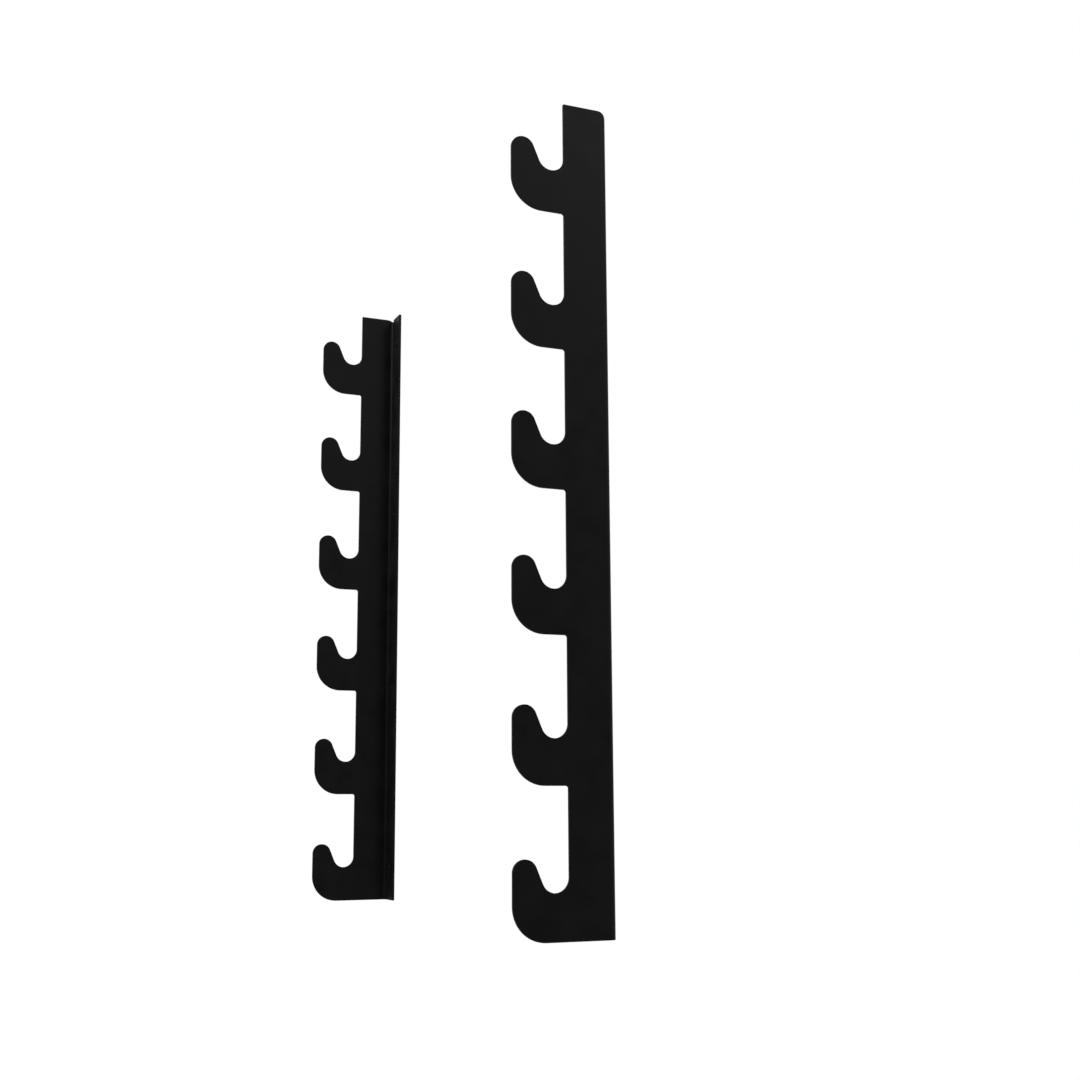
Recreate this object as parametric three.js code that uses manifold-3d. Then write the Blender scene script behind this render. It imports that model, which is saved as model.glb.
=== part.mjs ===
// Wall mounted barbell storage rack: a mirrored pair of folded steel uprights, six J hooks each.
// Millimetres. +Z is up, the wall is the plane y = 0 and the room is on the -Y side.
// The origin lies on the wall, midway between the uprights, level with their bottom edges.

import * as THREE from 'three';
import { mergeVertices } from 'three/addons/utils/BufferGeometryUtils.js';
import Module from 'manifold-3d';

const wasm = await Module();
wasm.setup();

// Plate and fold
const plateThickness = 4;
const bendInnerRadius = 4;
const flangeWidth = 40; // over the web's outer face
const webDepth = 57.5; // wall to the web's front edge

// Hooks
const hookCount = 6;
const hookPitch = 167;
const seatRadius = 16.5; // the round seat that a bar's shaft lies in
const slopeRun = 5; // ground that the sloping side gains between seat and tip
const tipRadius = 14.5;
const tipCentreRise = 22; // tip's centre above the seat's lowest point
const seatFloorDepth = 52; // steel below the seat's lowest point
const lowerCornerRadius = 39; // big round corner under the tip
const undersideFillet = 3; // inner corner where a hook's underside meets the web

// Top end
const topRise = 87; // web's top above the top seat's lowest point
const topCornerRadius = 13; // wall side corner, which also relieves the fold

// Wall holes in the flange
const wallHoleRadius = 5.25;
const wallHoleCount = 4;
const wallHoleEndDistance = 55;

// The pair
const pairWidth = 848; // over the outer faces

// Making
const cutOverrun = 3; // how far a cutting shape runs past what it cuts
const facetsPerTurn = 60;
const wallHoleFacets = 32;

// Sizes that follow
const bendOuterRadius = bendInnerRadius + plateThickness;
const hookReach = 2 * seatRadius + slopeRun + 2 * tipRadius;
const uprightDepth = webDepth + hookReach;
const topSeatHeight = seatFloorDepth + (hookCount - 1) * hookPitch;
const uprightHeight = topSeatHeight + topRise;

const blackPowderCoat = new THREE.MeshStandardMaterial({ color: 0x1c1c1d, roughness: 0.55, metalness: 0 });

// Points along an arc, both ends included; angles in radians, either way round.
function arcPoints(centreX, centreY, radius, startAngle, endAngle) {
  const turn = (endAngle - startAngle) / (2 * Math.PI);
  const steps = Math.max(2, Math.round(Math.abs(turn) * facetsPerTurn));
  const points = [];
  for (let i = 0; i <= steps; i += 1) {
    const angle = startAngle + ((endAngle - startAngle) * i) / steps;
    points.push(new THREE.Vector2(centreX + radius * Math.cos(angle), centreY + radius * Math.sin(angle)));
  }
  return points;
}

// One hook's outline, from the underside's inner end round the tip to the seat's wall side.
// x runs out from the web's front edge, y up from the hook's underside.
function hookOutline(isLowest) {
  const seatX = seatRadius;
  const seatY = seatFloorDepth + seatRadius;
  const tipX = hookReach - tipRadius;
  const tipY = seatFloorDepth + tipCentreRise;

  // The sloping side is the inner tangent of the seat's circle and the tip's circle.
  const centreDistance = Math.hypot(tipX - seatX, tipY - seatY);
  const centreAngle = Math.atan2(tipY - seatY, tipX - seatX);
  const tangentAngle = centreAngle - Math.acos((seatRadius + tipRadius) / centreDistance);

  const cornerX = hookReach - lowerCornerRadius;
  const points = [];
  if (!isLowest) {
    points.push(...arcPoints(undersideFillet, -undersideFillet, undersideFillet, Math.PI, Math.PI / 2));
  }
  points.push(...arcPoints(cornerX, lowerCornerRadius, lowerCornerRadius, -Math.PI / 2, 0));
  points.push(...arcPoints(tipX, tipY, tipRadius, 0, tangentAngle + Math.PI));
  points.push(...arcPoints(seatX, seatY, seatRadius, tangentAngle, -Math.PI));
  return points;
}

// The whole side outline of an upright: x is the distance from the wall, y the height.
function sideOutline() {
  const points = [new THREE.Vector2(0, 0)];
  for (let i = 0; i < hookCount; i += 1) {
    const corner = new THREE.Vector2(webDepth, i * hookPitch);
    points.push(...hookOutline(i === 0).map((point) => point.add(corner)));
  }
  points.push(new THREE.Vector2(webDepth, uprightHeight));
  points.push(new THREE.Vector2(0, uprightHeight));
  return new THREE.Shape(points);
}

// What the rounded wall side corner takes off the top of the web and of the fold.
function topCornerOffcut() {
  const cornerTop = uprightHeight + cutOverrun;
  const round = arcPoints(topCornerRadius, uprightHeight - topCornerRadius, topCornerRadius, Math.PI, Math.PI / 2);
  const points = [new THREE.Vector2(-cutOverrun, round[0].y), ...round];
  points.push(new THREE.Vector2(topCornerRadius, cornerTop));
  points.push(new THREE.Vector2(-cutOverrun, cornerTop));
  return new THREE.Shape(points);
}

// The folded plate seen from above: x is the distance in from the outer face, y the distance from the wall.
function foldedSection() {
  const bendX = bendOuterRadius;
  const bendY = bendOuterRadius;
  const points = [
    ...arcPoints(bendX, bendY, bendOuterRadius, -Math.PI / 2, -Math.PI),
    new THREE.Vector2(0, uprightDepth),
    new THREE.Vector2(plateThickness, uprightDepth),
    ...arcPoints(bendX, bendY, bendInnerRadius, -Math.PI, -Math.PI / 2),
    new THREE.Vector2(flangeWidth, plateThickness),
    new THREE.Vector2(flangeWidth, 0),
  ];
  return points;
}

function toSolid(geometry) {
  const bare = geometry.clone();
  bare.deleteAttribute('normal');
  bare.deleteAttribute('uv');
  const merged = mergeVertices(bare);
  return new wasm.Manifold(
    new wasm.Mesh({
      numProp: 3,
      vertProperties: Float32Array.from(merged.attributes.position.array),
      triVerts: Uint32Array.from(merged.index.array),
    }),
  );
}

function toGeometry(solid) {
  const mesh = solid.getMesh();
  const geometry = new THREE.BufferGeometry();
  geometry.setAttribute('position', new THREE.BufferAttribute(mesh.vertProperties, mesh.numProp));
  geometry.setIndex(new THREE.BufferAttribute(mesh.triVerts, 1));
  geometry.computeVertexNormals();
  return geometry;
}

// A side outline extruded inwards from x = startX over the given width, on the side given by sign.
function extrudeAcross(shape, startX, width, sign) {
  const geometry = new THREE.ExtrudeGeometry(shape, { depth: width, bevelEnabled: false });
  const towardsRoom = new THREE.Vector3(0, -1, 0);
  const up = new THREE.Vector3(0, 0, 1);
  const inwardsOnTheRight = new THREE.Vector3(-1, 0, 0);
  geometry.applyMatrix4(new THREE.Matrix4().makeBasis(towardsRoom, up, inwardsOnTheRight));
  const outerX = sign > 0 ? startX : width - startX;
  geometry.translate(outerX, 0, 0);
  return toSolid(geometry);
}

// The folded plate at full height, before its outline is cut.
function foldedBlank(sign) {
  const halfWidth = pairWidth / 2;
  const points = foldedSection().map((point) => new THREE.Vector2(sign * (halfWidth - point.x), -point.y));
  const geometry = new THREE.ExtrudeGeometry(new THREE.Shape(points), { depth: uprightHeight, bevelEnabled: false });
  return toSolid(geometry);
}

// Plain round holes through the flange, evenly spaced between the end distances.
function wallHoles(sign) {
  const holeX = sign * (pairWidth / 2 - (bendOuterRadius + flangeWidth) / 2);
  const length = plateThickness + 2 * cutOverrun;
  const span = uprightHeight - 2 * wallHoleEndDistance;
  const holes = [];
  for (let i = 0; i < wallHoleCount; i += 1) {
    const geometry = new THREE.CylinderGeometry(wallHoleRadius, wallHoleRadius, length, wallHoleFacets);
    geometry.translate(holeX, -plateThickness / 2, wallHoleEndDistance + (span * i) / (wallHoleCount - 1));
    holes.push(toSolid(geometry));
  }
  return holes;
}

// sign is +1 for the right upright and -1 for the left one; both flanges point inwards.
function makeUpright(name, sign) {
  const outerX = pairWidth / 2 + cutOverrun;
  let solid = foldedBlank(sign);
  solid = solid.intersect(extrudeAcross(sideOutline(), outerX, flangeWidth + 2 * cutOverrun, sign));
  solid = solid.subtract(extrudeAcross(topCornerOffcut(), outerX, bendOuterRadius + cutOverrun, sign));
  for (const hole of wallHoles(sign)) {
    solid = solid.subtract(hole);
  }
  const upright = new THREE.Mesh(toGeometry(solid), blackPowderCoat);
  upright.name = name;
  return upright;
}

const group = new THREE.Group();
group.add(makeUpright('left_upright', -1));
group.add(makeUpright('right_upright', 1));

export default group;
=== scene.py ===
# %% [markdown]
# # A wall rack of J hooks, in black powder coat
# The real object is a pair of steel uprights, left and right. Each is one plate, 4 mm thick, cut by
# a laser into a row of J hooks and then folded once, so that a narrow flange lies on the wall.
# The imported model gives the exact place and size. This script makes the same two plates again with
# the soft edges and the finish that the eye expects, then adds a camera, a floor and soft light.
#
# The imported model is loaded first and never touched.

import math

import bmesh
import bpy
from mathutils import Matrix, Vector


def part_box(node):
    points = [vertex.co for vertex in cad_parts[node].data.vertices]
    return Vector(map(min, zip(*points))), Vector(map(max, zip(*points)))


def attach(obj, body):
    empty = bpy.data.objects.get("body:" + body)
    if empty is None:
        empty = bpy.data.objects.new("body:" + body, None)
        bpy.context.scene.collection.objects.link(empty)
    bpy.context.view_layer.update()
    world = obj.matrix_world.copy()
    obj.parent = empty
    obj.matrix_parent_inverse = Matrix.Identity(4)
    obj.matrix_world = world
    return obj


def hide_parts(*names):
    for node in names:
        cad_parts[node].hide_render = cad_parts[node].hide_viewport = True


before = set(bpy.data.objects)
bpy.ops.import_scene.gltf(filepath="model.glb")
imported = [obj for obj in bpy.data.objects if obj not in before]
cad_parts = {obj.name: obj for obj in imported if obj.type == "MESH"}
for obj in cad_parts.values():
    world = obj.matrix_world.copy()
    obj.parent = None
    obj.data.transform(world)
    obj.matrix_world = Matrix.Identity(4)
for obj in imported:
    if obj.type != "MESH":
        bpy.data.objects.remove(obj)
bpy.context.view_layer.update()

# %% [markdown]
# ## The camera
# A camera is a place, a direction and a lens. The photograph was taken from the right of the rack,
# about 1.6 m from the near upright, low down and looking up by ten degrees, which is why the
# uprights lean together a little. These values could be found by eye, but a small error in one of
# them shows along the whole outline, so they were worked out from the edges in the photograph.
#
# The angles count as Blender counts them: a camera at zero looks straight down, the tilt raises it,
# and the heading turns it anticlockwise, seen from above.

# %% Place the camera
SENSOR_WIDTH_MM = 36
LENS_MM = 49.37
CAMERA_PLACE = Vector((1.933, -0.7375, 0.1423))
CAMERA_TILT = 100.287
CAMERA_ROLL = 0.289
CAMERA_HEADING = 66.858

camera_data = bpy.data.cameras.new("camera")
camera_data.sensor_width = SENSOR_WIDTH_MM
camera_data.lens = LENS_MM
camera = bpy.data.objects.new("camera", camera_data)
camera.location = CAMERA_PLACE
camera.rotation_euler = [math.radians(turn) for turn in (CAMERA_TILT, CAMERA_ROLL, CAMERA_HEADING)]
bpy.context.scene.collection.objects.link(camera)
bpy.context.scene.camera = camera
bpy.context.scene.view_settings.view_transform = "Standard"
print("camera at", [round(c, 3) for c in camera.location], "with a", LENS_MM, "mm lens")

# %% [markdown]
# ## The sizes of one upright
# A workshop drawing starts with the flat side of the plate, so these are the sizes on that drawing,
# in millimetres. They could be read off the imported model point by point, but named sizes show how
# the shape is meant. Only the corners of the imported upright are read, because they say where the
# drawing lies in the room.

# %% Name the sizes
MM = 0.001
PLATE = 4 * MM
BEND_OUTER = 8 * MM  # outside radius of the fold
WEB_DEPTH = 57.5 * MM  # wall to the web's front edge
HOOK_COUNT = 6
HOOK_PITCH = 167 * MM
SEAT_RADIUS = 16.5 * MM
SLOPE_RUN = 5 * MM
TIP_RADIUS = 14.5 * MM
TIP_RISE = 22 * MM  # tip's centre above the seat's lowest point
SEAT_FLOOR = 52 * MM  # steel below the seat's lowest point
LOWER_CORNER = 39 * MM
UNDERSIDE_FILLET = 3 * MM
TOP_CORNER = 13 * MM

right_low, right_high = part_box("right_upright")
outer_x, wall_y, bottom_z, top_z = right_high.x, right_high.y, right_low.z, right_high.z
height = top_z - bottom_z
flange_width = right_high.x - right_low.x
print("the upright is", round(height / MM, 1), "mm high")
print("its flange is", round(flange_width / MM, 1), "mm wide")

# %% [markdown]
# ## A pen for the outline
# The side of the plate is a chain of straight lines and arcs, like the path of the laser's head. It
# could be typed as a list of points, but then no line would show which arc it belongs to. Here one
# vertex is the pen. Extruding it draws a line, and spinning it about a centre draws an arc, so each
# arc meets its line without a step.

# %% A pen that draws lines and arcs
QUARTER_TURN = 90
ARC_STEP = 5  # degrees between the points of an arc


def verts_of(geometry):
    """The vertices among the geometry that an operator gives back."""
    return [item for item in geometry if isinstance(item, bmesh.types.BMVert)]


def on_side(reach, rise):
    """A point on the plate's outer side, reach out from the wall and rise up from the bottom edge."""
    return Vector((outer_x, wall_y - reach, bottom_z + rise))


def draw_line(bm, pen, reach, rise):
    """Extrudes the pen's vertex and moves the new one to its place."""
    pen = bmesh.ops.extrude_vert_indiv(bm, verts=[pen])["verts"][0]
    pen.co = on_side(reach, rise)
    return pen


def draw_arc(bm, pen, centre_reach, centre_rise, turn):
    """Spins the pen's vertex about a centre by turn degrees, anticlockwise with the wall on the left."""
    centre = on_side(centre_reach, centre_rise)
    axis = (-1, 0, 0)
    end = centre + Matrix.Rotation(math.radians(turn), 3, axis) @ (pen.co - centre)
    steps = max(2, round(abs(turn) / ARC_STEP))
    spun = bmesh.ops.spin(bm, geom=[pen], cent=centre, axis=axis, angle=math.radians(turn), steps=steps)
    pen = verts_of(spun["geom_last"])[0]
    pen.co = end  # the steps of a spin add up small errors, and this takes them out
    return pen


print("a right angle is drawn in", round(QUARTER_TURN / ARC_STEP), "steps")

# %% [markdown]
# ## The sloping side of a hook
# Between the round seat and the round tip lies a straight slope that touches both. Its angle could
# be tried out until the corners vanish, but the distance between the two centres gives it exactly,
# because the slope is a line that touches both circles and crosses between them.

# %% Work out the slope
HALF_TURN = 180

hook_reach = 2 * SEAT_RADIUS + SLOPE_RUN + 2 * TIP_RADIUS
hook_front = WEB_DEPTH + hook_reach
seat_reach = WEB_DEPTH + SEAT_RADIUS
tip_reach = hook_front - TIP_RADIUS
across = Vector((tip_reach - seat_reach, TIP_RISE - SEAT_RADIUS))
climb = math.atan2(across.y, across.x)
crossing = math.acos((SEAT_RADIUS + TIP_RADIUS) / across.length)
slope_turn = math.degrees(climb - crossing) + HALF_TURN
slope_end = Vector((SEAT_RADIUS, 0))
slope_end.rotate(Matrix.Rotation(math.radians(slope_turn - HALF_TURN), 2))
print("a hook turns over its tip by", round(slope_turn, 1), "degrees and back through its seat")

# %% [markdown]
# ## One hook
# A hook's outline starts in a tight inner corner below it, follows its underside to the big lower
# corner, climbs to the tip, turns over it and comes down the slope into the seat. All six are alike.
# One could be drawn and copied, but then the outline would have seams to close, so a function draws
# the hook at any height. Only the lowest has no inner corner, because its underside is the bottom
# edge of the plate.

# %% Draw one hook
def draw_hook(bm, pen, underside):
    """Draws a hook, from the web below it round its tip to the wall side of its seat."""
    seat = underside + SEAT_FLOOR
    if underside > 0:
        pen = draw_line(bm, pen, WEB_DEPTH, underside - UNDERSIDE_FILLET)
        inner_corner = WEB_DEPTH + UNDERSIDE_FILLET
        pen = draw_arc(bm, pen, inner_corner, underside - UNDERSIDE_FILLET, -QUARTER_TURN)
    pen = draw_line(bm, pen, hook_front - LOWER_CORNER, underside)
    pen = draw_arc(bm, pen, hook_front - LOWER_CORNER, underside + LOWER_CORNER, QUARTER_TURN)
    pen = draw_line(bm, pen, hook_front, seat + TIP_RISE)
    pen = draw_arc(bm, pen, tip_reach, seat + TIP_RISE, slope_turn)
    pen = draw_line(bm, pen, seat_reach + slope_end.x, seat + SEAT_RADIUS + slope_end.y)
    return draw_arc(bm, pen, seat_reach, seat + SEAT_RADIUS, -slope_turn)


print("a hook reaches", round(hook_front / MM, 1), "mm out from the wall")

# %% [markdown]
# ## The whole side
# The hooks follow each other up the web, and above them come the plain top and the round corner by
# the wall. The outline begins and ends where the fold will start, so that the fold can grow from it.
# A face could be made from the points in order, but a contextual create does what the F key does in
# the editor: it joins the last point to the first, and then fills the outline.

# %% Draw the outline and fill it
plate = bmesh.new()
start = bmesh.ops.create_vert(plate, co=on_side(BEND_OUTER, 0))["vert"][0]
pen = start
for hook in range(HOOK_COUNT):
    pen = draw_hook(plate, pen, hook * HOOK_PITCH)
pen = draw_line(plate, pen, WEB_DEPTH, height)
pen = draw_line(plate, pen, TOP_CORNER, height)
relief_turn = math.degrees(math.asin((TOP_CORNER - BEND_OUTER) / TOP_CORNER))
pen = draw_arc(plate, pen, TOP_CORNER, height - TOP_CORNER, relief_turn)
bmesh.ops.contextual_create(plate, geom=[pen, start])
side = bmesh.ops.contextual_create(plate, geom=plate.edges[:])["faces"][0]
print("the outline has", len(plate.edges), "edges")
print("it encloses", round(side.calc_area() / MM**2), "square mm")

# %% [markdown]
# ## Thickness
# The real blank is cut from 4 mm plate. A Solidify modifier could thicken this face later, but the
# fold has to grow from a solid edge, so the face is extruded now.

# %% Thicken the side
thickened = bmesh.ops.extrude_face_region(plate, geom=[side])["geom"]
bmesh.ops.translate(plate, verts=verts_of(thickened), vec=(-PLATE, 0, 0))
print("the flat blank has", len(plate.faces), "faces")

# %% [markdown]
# ## The fold
# On the real plate a press folds the wall side over a die. Two plates could be joined at a sharp
# corner and rounded, but the steel would then change its thickness in the bend. Spinning the long
# narrow face on the wall side through a right angle makes the bend that a press makes, with the
# same thickness all the way round.

# %% Fold the wall side
BEND_STEPS = 16

wall_side = max(plate.faces, key=lambda face: face.calc_center_median().y)
folded = bmesh.ops.spin(
    plate,
    geom=[wall_side],
    cent=(outer_x - BEND_OUTER, wall_y - BEND_OUTER, 0),
    axis=(0, 0, 1),
    angle=math.radians(QUARTER_TURN),
    steps=BEND_STEPS,
)["geom_last"]
bmesh.ops.delete(plate, geom=[wall_side], context="FACES_ONLY")
print("the fold turns in", BEND_STEPS, "steps")
print("its outside radius is", round(BEND_OUTER / MM, 1), "mm")

# %% [markdown]
# ## The notch at the top
# The laser also rounds the plate's top corner by the wall, and that round runs on into the fold. It
# leaves a small notch between the web and the flange. A boolean could cut the notch, but it would
# leave a ragged mesh in the fold, so the fold's top points drop onto the round instead. The small
# errors of the spin are taken out in the same pass, so that no point lies behind the wall's plane.

# %% Drop the fold's top onto the round
dropped = 0
for vertex in plate.verts:
    vertex.co.y = min(vertex.co.y, wall_y)
    reach = wall_y - vertex.co.y
    if reach < BEND_OUTER and vertex.co.z > top_z - TOP_CORNER:
        vertex.co.z = top_z - TOP_CORNER + math.sqrt(TOP_CORNER**2 - (TOP_CORNER - reach) ** 2)
        dropped += 1
print(dropped, "points of the fold's top lie on the round corner")

# %% [markdown]
# ## The flange
# Past the fold the plate runs flat along the wall. It could be a box set against the fold, but the
# real plate has no joint there, so the fold's last face is extruded. The new flange is as low at its
# top as the notch, and so its top face is drawn out as well, back up to full height.

# %% Draw out the flange
def faces_of(geometry):
    """The faces among the geometry that an operator gives back."""
    return [item for item in geometry if isinstance(item, bmesh.types.BMFace)]


def draw_out(bm, face):
    """Extrudes one face of a closed solid, without the wall that the old face would leave inside."""
    grown = bmesh.ops.extrude_face_region(bm, geom=[face])["geom"]
    bmesh.ops.delete(bm, geom=[face], context="FACES_ONLY")
    return verts_of(grown)


flat = draw_out(plate, faces_of(folded)[0])
bmesh.ops.translate(plate, verts=flat, vec=(BEND_OUTER - flange_width, 0, 0))
flange_middle_x = outer_x - (BEND_OUTER + flange_width) / 2
flange_faces = [face for face in plate.faces if abs(face.calc_center_median().x - flange_middle_x) < MM]
flange_top = max(flange_faces, key=lambda face: face.calc_center_median().z)
for vertex in draw_out(plate, flange_top):
    vertex.co.z = top_z
print("the folded plate has", len(plate.faces), "faces")

# %% [markdown]
# ## Places for the screw holes
# The flange has four plain holes for the wall's screws, evenly spaced between its ends and midway
# across its flat part. Their places are worked out and not typed, so they stay in line if the
# upright's height changes.

# %% Place the holes
HOLE_COUNT = 4
HOLE_END = 55 * MM

hole_step = (height - 2 * HOLE_END) / (HOLE_COUNT - 1)
hole_heights = [bottom_z + HOLE_END + hole_step * n for n in range(HOLE_COUNT)]
print("holes at", [round(hole_height / MM, 1) for hole_height in hole_heights], "mm")

# %% [markdown]
# ## Circles for the screw holes
# A boolean with a cylinder would cut each hole, but it leaves long thin faces that shade badly.
# Instead, circles are drawn where the holes break through the front and the back of the flange. A
# new circle lies flat on the floor, so a quarter turn stands it up to face the room.

# %% A helper that draws the circles
HOLE_RADIUS = 5.25 * MM
HOLE_SEGMENTS = 32


def draw_circles(bm, y):
    """Draws a circle for each hole in the plane at y. Returns a list of edges for each."""
    circles = []
    upright_circle = Matrix.Rotation(math.radians(QUARTER_TURN), 4, "X")
    for hole_height in hole_heights:
        facing = Matrix.Translation((flange_middle_x, y, hole_height)) @ upright_circle
        circle = bmesh.ops.create_circle(bm, radius=HOLE_RADIUS, segments=HOLE_SEGMENTS, matrix=facing)
        rim = [edge for vertex in circle["verts"] for edge in vertex.link_edges]
        circles.append(list(dict.fromkeys(rim)))  # each edge once, in the same order each run
    return circles


print("each hole is", round(2 * HOLE_RADIUS / MM, 1), "mm across, drawn with", HOLE_SEGMENTS, "edges")

# %% [markdown]
# ## The flat faces round the holes
# On the real flange these are two plain sides, each pierced four times. A face in Blender cannot
# have a hole in it. Knife cuts could lead from every circle out to the edge, but it is less work to
# take each face away and to fill its place with triangles, between its own edge and the circles.
# Most of the triangles' edges are then dissolved, which leaves a few large flat faces.

# %% Fill the front and the back again
def fill_round(bm, face, circles):
    """Takes a flat face away and fills its place again round the circles."""
    edges = face.edges[:] + [edge for circle in circles for edge in circle]
    bmesh.ops.delete(bm, geom=[face], context="FACES_ONLY")
    bmesh.ops.triangle_fill(bm, edges=edges, use_beauty=True, use_dissolve=True)


middle = Vector((flange_middle_x, 0, (top_z + bottom_z) / 2))
hole_rims = []
for y in (wall_y - PLATE, wall_y):
    middle.y = y
    flat_face = min(plate.faces, key=lambda face: (face.calc_center_median() - middle).length)
    hole_rims.append(draw_circles(plate, y))
    fill_round(plate, flat_face, hole_rims[-1])
print("open edges before the bridges:", sum(not edge.is_manifold for edge in plate.edges))

# %% [markdown]
# ## The walls of the holes
# Each hole is now a gap in the front and a gap in the back. One circle could be extruded to meet
# the other, but its points would then lie twice in the same place and need merging. Bridging joins
# the two circles edge by edge, and leaves the plate closed all round. The normals are worked out
# again, because a spin and a bridge can leave faces that point inwards.

# %% Bridge the holes
for front, back in zip(*hole_rims):
    bmesh.ops.bridge_loops(plate, edges=front + back)
bmesh.ops.recalc_face_normals(plate, faces=plate.faces[:])
print("open edges after the bridges:", sum(not edge.is_manifold for edge in plate.edges))

# %% [markdown]
# ## Soft edges
# No real edge is perfectly sharp. These are sanded after cutting and then coated, which rounds them
# by about half a millimetre, and it is that narrow round that catches the light and draws the
# outline of a black object. A Bevel modifier could make it too. On the mesh itself the edges can be
# picked by the way they turn, so that every outward edge is rounded and no inward one is.

# %% Round the edges
EDGE_ROUND = 0.5 * MM
ROUND_SEGMENTS = 3
SHARP_ANGLE = 40

sharp = [edge for edge in plate.edges if edge.calc_face_angle_signed() > math.radians(SHARP_ANGLE)]
bmesh.ops.bevel(
    plate,
    geom=sharp,
    offset=EDGE_ROUND,
    offset_type="OFFSET",
    affect="EDGES",
    segments=ROUND_SEGMENTS,
    profile=0.5,
    material=-1,
    clamp_overlap=False,
)
print(len(sharp), "edges rounded")
print("open edges left:", sum(not edge.is_manifold for edge in plate.edges))

# %% [markdown]
# ## Smooth shading that stays flat
# The finished plate has flat sides, round arcs and narrow round edges, and each should shade as what
# it is. Flat shading would show every facet of the arcs, and smooth shading alone would bend the
# flat sides near their edges. Smooth shading with weighted normals does both, because the large
# faces then decide how the small ones beside them shade.

# %% A helper that finishes a piece
CREASE_ANGLE = 60


def finish_piece(bm, name):
    """Turns the mesh into an object with smooth shading that stays flat on the flat sides."""
    mesh = bpy.data.meshes.new(name)
    bm.to_mesh(mesh)
    mesh.shade_smooth()
    mesh.set_sharp_from_angle(angle=math.radians(CREASE_ANGLE))
    piece = bpy.data.objects.new(name, mesh)
    bpy.context.scene.collection.objects.link(piece)
    evened = piece.modifiers.new("even_normals", "WEIGHTED_NORMAL")
    evened.keep_sharp = True
    print(name, "has", len(mesh.polygons), "faces")
    return piece


print("edges over", CREASE_ANGLE, "degrees stay creased")

# %% [markdown]
# ## Two uprights from one
# The left upright is the right one in a mirror. It could be drawn again the other way round, but a
# copy is sure to match. A mirrored mesh is inside out, because each face is then read the other way
# round, so its normals are worked out again.
#
# Each piece then takes the place of its imported upright, which is hidden, and rides on the one
# body that the rack has.

# %% Make the two pieces
mirrored = plate.copy()
bmesh.ops.scale(mirrored, verts=mirrored.verts[:], vec=(-1, 1, 1))
bmesh.ops.recalc_face_normals(mirrored, faces=mirrored.faces[:])
pieces = {
    "right_upright": finish_piece(plate, "right_upright_plate"),
    "left_upright": finish_piece(mirrored, "left_upright_plate"),
}
plate.free()
mirrored.free()
for node, piece in pieces.items():
    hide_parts(node)
    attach(piece, "root")
    print(piece.name, "stands for", node)

# %% [markdown]
# ## Colours
# A colour chart gives a colour as sRGB hex, which is spaced as the eye sees it. Light adds up
# differently, and Blender mixes it in linear values. Those could be typed, but nobody can picture
# them, so the hex code stays and one function turns it.

# %% A function for colours
def from_hex(code):
    """The linear colour of an sRGB hex value."""
    shares = [int(code[n : n + 2], 16) / 255 for n in (1, 3, 5)]
    return [s / 12.92 if s <= 0.04045 else ((s + 0.055) / 1.055) ** 2.4 for s in shares] + [1]


WHITE = from_hex("#ffffff")
print("half way up the chart, #808080, is", round(from_hex("#808080")[0], 3), "of white's light")

# %% [markdown]
# ## Nodes
# A finish in Blender is a small network of nodes. Each node could be added, set and linked in lines
# of its own, but a finish would then fill a page, so one helper does that for every kind of node. A
# second one starts a material, with the output node that its network ends in.

# %% A helper for nodes
def add_node(tree, kind, links=None, **settings):
    """Adds a node. Links maps an input to an output socket; other settings are inputs or properties."""
    node = tree.nodes.new(kind)
    for name, value in settings.items():
        if hasattr(node, name):
            setattr(node, name, value)
        else:
            node.inputs[name.replace("_", " ")].default_value = value
    for name, socket in (links or {}).items():
        tree.links.new(socket, node.inputs[name])
    return node


def new_material(name):
    """An empty node material with its output node."""
    material = bpy.data.materials.new(name)
    material.use_nodes = True
    material.node_tree.nodes.clear()
    return material, material.node_tree, add_node(material.node_tree, "ShaderNodeOutputMaterial")


coat, tree, coat_output = new_material("satin_black_powder_coat")
print("started the material", coat.name)

# %% [markdown]
# ## Satin black powder coat
# The finish is a polyester powder, sprayed on dry and baked until it flows together. The coat lies
# a little thicker here and thinner there, so its tone and its shine drift within a few centimetres.
# A flat colour would leave that out, and painted spots would repeat. A slow noise in the object's
# own coordinates drifts as the coat does and stays put when the rack is seen from another side.

# %% Let the tone drift
COAT_COLOUR = "#090909"
COAT_COLOUR_THIN = "#121212"
DRIFT_MM = 35  # how slowly the coat drifts
DRIFT_DETAIL = 3
DRIFT_LOW, DRIFT_HIGH = 0.3, 0.7  # the noise seldom leaves this range

place = add_node(tree, "ShaderNodeTexCoord").outputs["Object"]
drift = add_node(
    tree,
    "ShaderNodeTexNoise",
    {"Vector": place},
    Scale=1 / (DRIFT_MM * MM),
    Detail=DRIFT_DETAIL,
)
tint = add_node(tree, "ShaderNodeValToRGB", {"Fac": drift.outputs["Fac"]})
thick_stop, thin_stop = tint.color_ramp.elements
thick_stop.color = from_hex(COAT_COLOUR)
thick_stop.position = DRIFT_LOW
thin_stop.color = from_hex(COAT_COLOUR_THIN)
thin_stop.position = DRIFT_HIGH
print("the coat's tone is between", COAT_COLOUR, "and", COAT_COLOUR_THIN)

# %% [markdown]
# ## The shine drifts with it
# Where the coat is thinner it is lighter and a little rougher, so the same noise sets both. A noise
# of its own would make two patterns that have nothing to do with each other.

# %% Let the shine drift
ROUGHNESS_LOW, ROUGHNESS_HIGH = 0.42, 0.56

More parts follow.
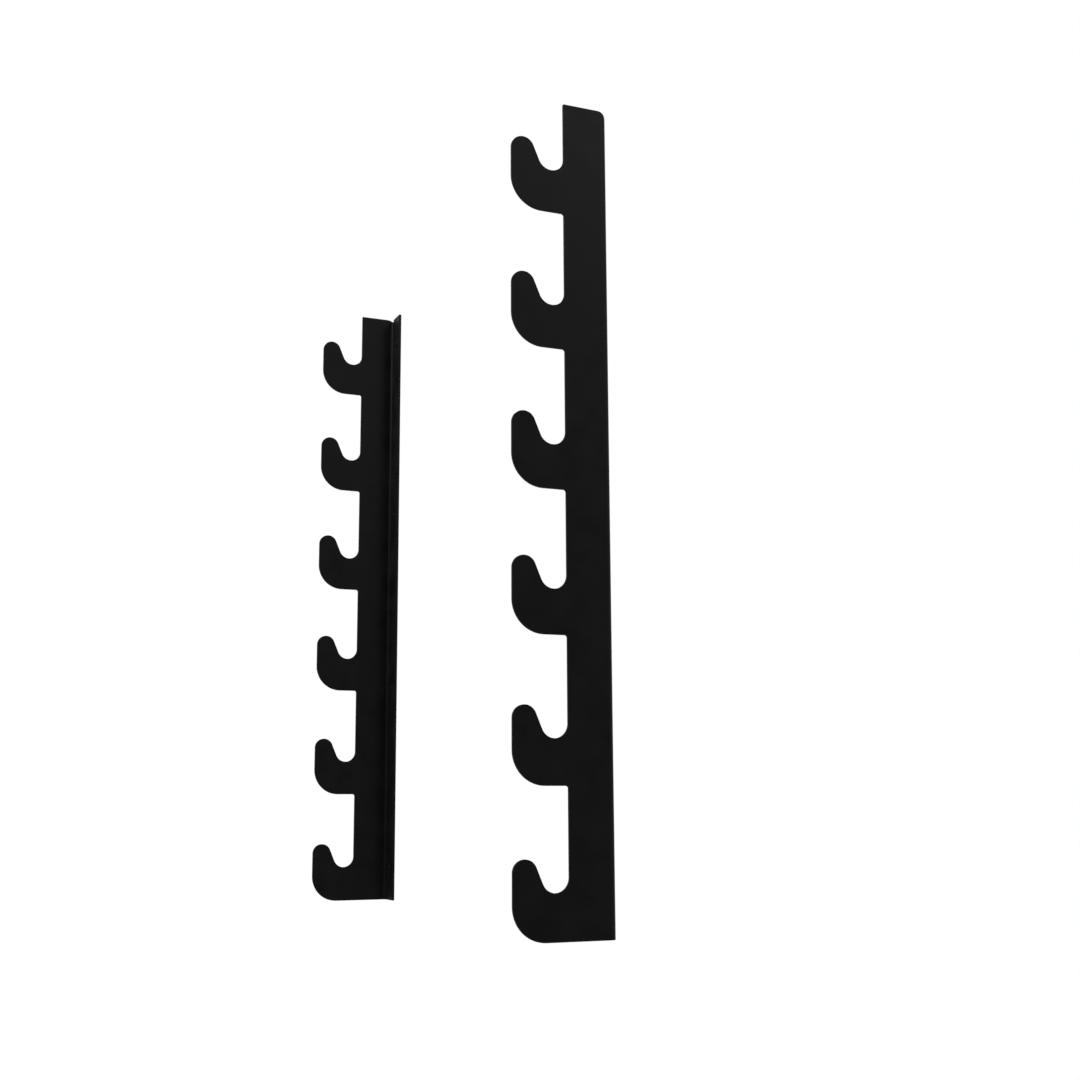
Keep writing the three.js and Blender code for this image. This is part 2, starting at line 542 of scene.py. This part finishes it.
shine = add_node(
    tree,
    "ShaderNodeMapRange",
    {"Value": drift.outputs["Fac"]},
    From_Min=DRIFT_LOW,
    From_Max=DRIFT_HIGH,
    To_Min=ROUGHNESS_LOW,
    To_Max=ROUGHNESS_HIGH,
)
print("the coat's roughness is between", ROUGHNESS_LOW, "and", ROUGHNESS_HIGH)

# %% [markdown]
# ## Orange peel and grain
# Baked powder never flows quite flat. A slow swell a few millimetres long, known as orange peel,
# breaks up the reflections, and a finer grain takes the shine down to satin. Both are far too small
# to be modelled, so two bumps, one on top of the other, tilt the surface for the light only.

# %% Raise the peel and the grain
PEEL_MM = 3.5  # length of one swell of the orange peel
PEEL_HEIGHT_MM = 0.05
PEEL_DETAIL = 1
GRAIN_MM = 0.9  # coarser than the real 0.3 mm grain, so that it shows
GRAIN_HEIGHT_MM = 0.08
GRAIN_DETAIL = 2

peel = add_node(
    tree,
    "ShaderNodeTexNoise",
    {"Vector": place},
    Scale=1 / (PEEL_MM * MM),
    Detail=PEEL_DETAIL,
)
grain = add_node(
    tree,
    "ShaderNodeTexNoise",
    {"Vector": place},
    Scale=1 / (GRAIN_MM * MM),
    Detail=GRAIN_DETAIL,
)
peel_bump = add_node(
    tree,
    "ShaderNodeBump",
    {"Height": peel.outputs["Fac"]},
    Strength=1,
    Distance=PEEL_HEIGHT_MM * MM,
)
grain_bump = add_node(
    tree,
    "ShaderNodeBump",
    {"Height": grain.outputs["Fac"], "Normal": peel_bump.outputs["Normal"]},
    Strength=1,
    Distance=GRAIN_HEIGHT_MM * MM,
)
print("the peel swells every", PEEL_MM, "mm and the grain every", GRAIN_MM, "mm")

# %% [markdown]
# ## The shader of the coat
# Polyester has an IOR of about 1.5. With the usual strength of its mirror-like part, the white
# studio would turn the plates grey, while the real coat stays black, so that part is made weak. The
# alternative, a much rougher coat, would lose the light line that runs down the fold.

# %% Mix the powder coat
COAT_IOR = 1.5
COAT_SPECULAR = 0.05  # a tenth of Blender's usual 0.5

shader = add_node(
    tree,
    "ShaderNodeBsdfPrincipled",
    {
        "Base Color": tint.outputs["Color"],
        "Roughness": shine.outputs["Result"],
        "Normal": grain_bump.outputs["Normal"],
    },
    IOR=COAT_IOR,
    Specular_IOR_Level=COAT_SPECULAR,
)
tree.links.new(shader.outputs["BSDF"], coat_output.inputs["Surface"])
for piece in pieces.values():
    piece.data.materials.append(coat)
print(coat.name, "has", len(tree.nodes), "nodes and is on", len(pieces), "pieces")

# %% [markdown]
# ## The white studio
# The photograph has no room in it, only white. A white wall could stand behind the rack, but the
# light that makes it white would be too much for the rack. The world is therefore white where the
# camera looks, and where a shiny or clear surface would show it, while it lights the rack at a
# plainer level. The Light Path node tells the two apart.

# %% A helper for the strength of the white
SEEN_LIGHT = 1  # a strength of 1 is white
BACKGROUND_LIGHT = 0.5


def seen_directly(tree):
    """One where the camera, a reflection or a clear surface looks, and nought for the light itself."""
    path = add_node(tree, "ShaderNodeLightPath").outputs
    mirror = add_node(tree, "ShaderNodeMath", operation="MAXIMUM")
    tree.links.new(path["Is Camera Ray"], mirror.inputs[0])
    tree.links.new(path["Is Glossy Ray"], mirror.inputs[1])
    clear = add_node(tree, "ShaderNodeMath", operation="MAXIMUM")
    tree.links.new(mirror.outputs[0], clear.inputs[0])
    tree.links.new(path["Is Transmission Ray"], clear.inputs[1])
    return clear.outputs[0]


def light_level(tree):
    """The strength of the white surroundings, for what looks at them and for what they light."""
    seen = {"Value": seen_directly(tree)}
    level = add_node(tree, "ShaderNodeMapRange", seen, To_Min=BACKGROUND_LIGHT, To_Max=SEEN_LIGHT)
    return level.outputs["Result"]


print("white is", SEEN_LIGHT, "where it is seen and lights with", BACKGROUND_LIGHT)

# %% [markdown]
# ## The world
# A world is the light that comes from all round. An image of a studio could fill it, but plain white
# is what the photograph shows.

# %% Make the world
world = bpy.data.worlds.new("white_studio")
world.use_nodes = True
tree = world.node_tree
tree.nodes.clear()
background = add_node(tree, "ShaderNodeBackground", {"Strength": light_level(tree)}, Color=WHITE)
add_node(tree, "ShaderNodeOutputWorld", {"Surface": background.outputs["Background"]})
bpy.context.scene.world = world
print("the world", world.name, "has", len(tree.nodes), "nodes")

# %% [markdown]
# ## The floor
# A rack on a wall has its floor well below it. A large disc of one face is enough for a plain floor,
# which is not part of the rack.

# %% Lay the floor
FLOOR_DROP = 0.6
FLOOR_RADIUS = 12
FLOOR_SEGMENTS = 64

floor_mesh = bmesh.new()
below = Matrix.Translation((0, 0, bottom_z - FLOOR_DROP))
bmesh.ops.create_circle(
    floor_mesh,
    cap_ends=True,
    radius=FLOOR_RADIUS,
    segments=FLOOR_SEGMENTS,
    matrix=below,
)
floor_data = bpy.data.meshes.new("floor")
floor_mesh.to_mesh(floor_data)
floor_mesh.free()
floor = bpy.data.objects.new("floor", floor_data)
bpy.context.scene.collection.objects.link(floor)
print("the floor lies", FLOOR_DROP, "m below the rack")

# %% [markdown]
# ## Where the floor ends
# Near the rack the floor takes its shadow. Further out it should melt into the white, so that no
# horizon shows. A curved backdrop would do that in a real studio. Here the distance from the middle
# of the floor tells how far it has melted, with a smooth step from nought to one.

# %% Fade with the distance from the middle
FLOOR_CLEAR_FROM = 0.9
FLOOR_CLEAR_TO = 1.7

floor_paint, tree, floor_output = new_material("pale_floor")
place = add_node(tree, "ShaderNodeTexCoord").outputs["Object"]
parts = add_node(tree, "ShaderNodeSeparateXYZ", {"Vector": place}).outputs
flat_place = add_node(tree, "ShaderNodeCombineXYZ", {"X": parts["X"], "Y": parts["Y"]})
distance = add_node(
    tree,
    "ShaderNodeVectorMath",
    {"Vector": flat_place.outputs["Vector"]},
    operation="LENGTH",
)
fade = add_node(
    tree,
    "ShaderNodeMapRange",
    {"Value": distance.outputs["Value"]},
    interpolation_type="SMOOTHSTEP",
    From_Min=FLOOR_CLEAR_FROM,
    From_Max=FLOOR_CLEAR_TO,
)
print("the floor melts into the white between", FLOOR_CLEAR_FROM, "and", FLOOR_CLEAR_TO, "m")

# %% [markdown]
# ## The paint of the floor
# The floor is a pale matt paint, because a shiny one would show the rack upside down. What it melts
# into is a glow of the same strength as the world.

# %% Paint the floor
FLOOR_COLOUR = "#f2f2f2"

paint = add_node(tree, "ShaderNodeBsdfDiffuse", Color=from_hex(FLOOR_COLOUR))
glow = add_node(tree, "ShaderNodeEmission", {"Strength": light_level(tree)}, Color=WHITE)
melted = add_node(tree, "ShaderNodeMixShader", {"Fac": fade.outputs["Result"]})
tree.links.new(paint.outputs["BSDF"], melted.inputs[1])
tree.links.new(glow.outputs["Emission"], melted.inputs[2])
tree.links.new(melted.outputs["Shader"], floor_output.inputs["Surface"])
floor_data.materials.append(floor_paint)
print(floor_paint.name, "is painted in", FLOOR_COLOUR)

# %% [markdown]
# ## Lamps
# A black surface shows its shape mostly by what it reflects. A large soft lamp hangs high on the
# camera's side and a little behind the plane of the wall. It makes the upper half of each plate
# lighter than the lower half, and the flange keeps it off the far web next to the fold, where a
# dark band follows. It could stand in front of the wall, but the far web would then be evenly lit.
#
# A small lamp hangs in front of the rack, near the top of the far upright. Somewhere round a fold
# the surface always turns to the angle that sends that lamp's light to the camera, so a thin light
# line runs down the far fold and fades towards the bottom.

# %% Hang the lamps
def hang_lamp(name, place, target, size, watts):
    """A square lamp at place that faces target."""
    data = bpy.data.lights.new(name, "AREA")
    data.shape = "SQUARE"
    data.size = size
    data.energy = watts
    lamp = bpy.data.objects.new(name, data)
    lamp.location = place
    lamp.rotation_euler = (Vector(target) - Vector(place)).to_track_quat("-Z", "Y").to_euler()
    bpy.context.scene.collection.objects.link(lamp)
    print(name, "of", watts, "W at", place)


hang_lamp("key_lamp", place=(1.9, 1.1, 2.2), target=(0.1, 0, 0.7), size=0.8, watts=22)
hang_lamp("front_lamp", place=(-0.15, -1.3, 1.5), target=(-0.42, 0, 0.8), size=0.3, watts=18)
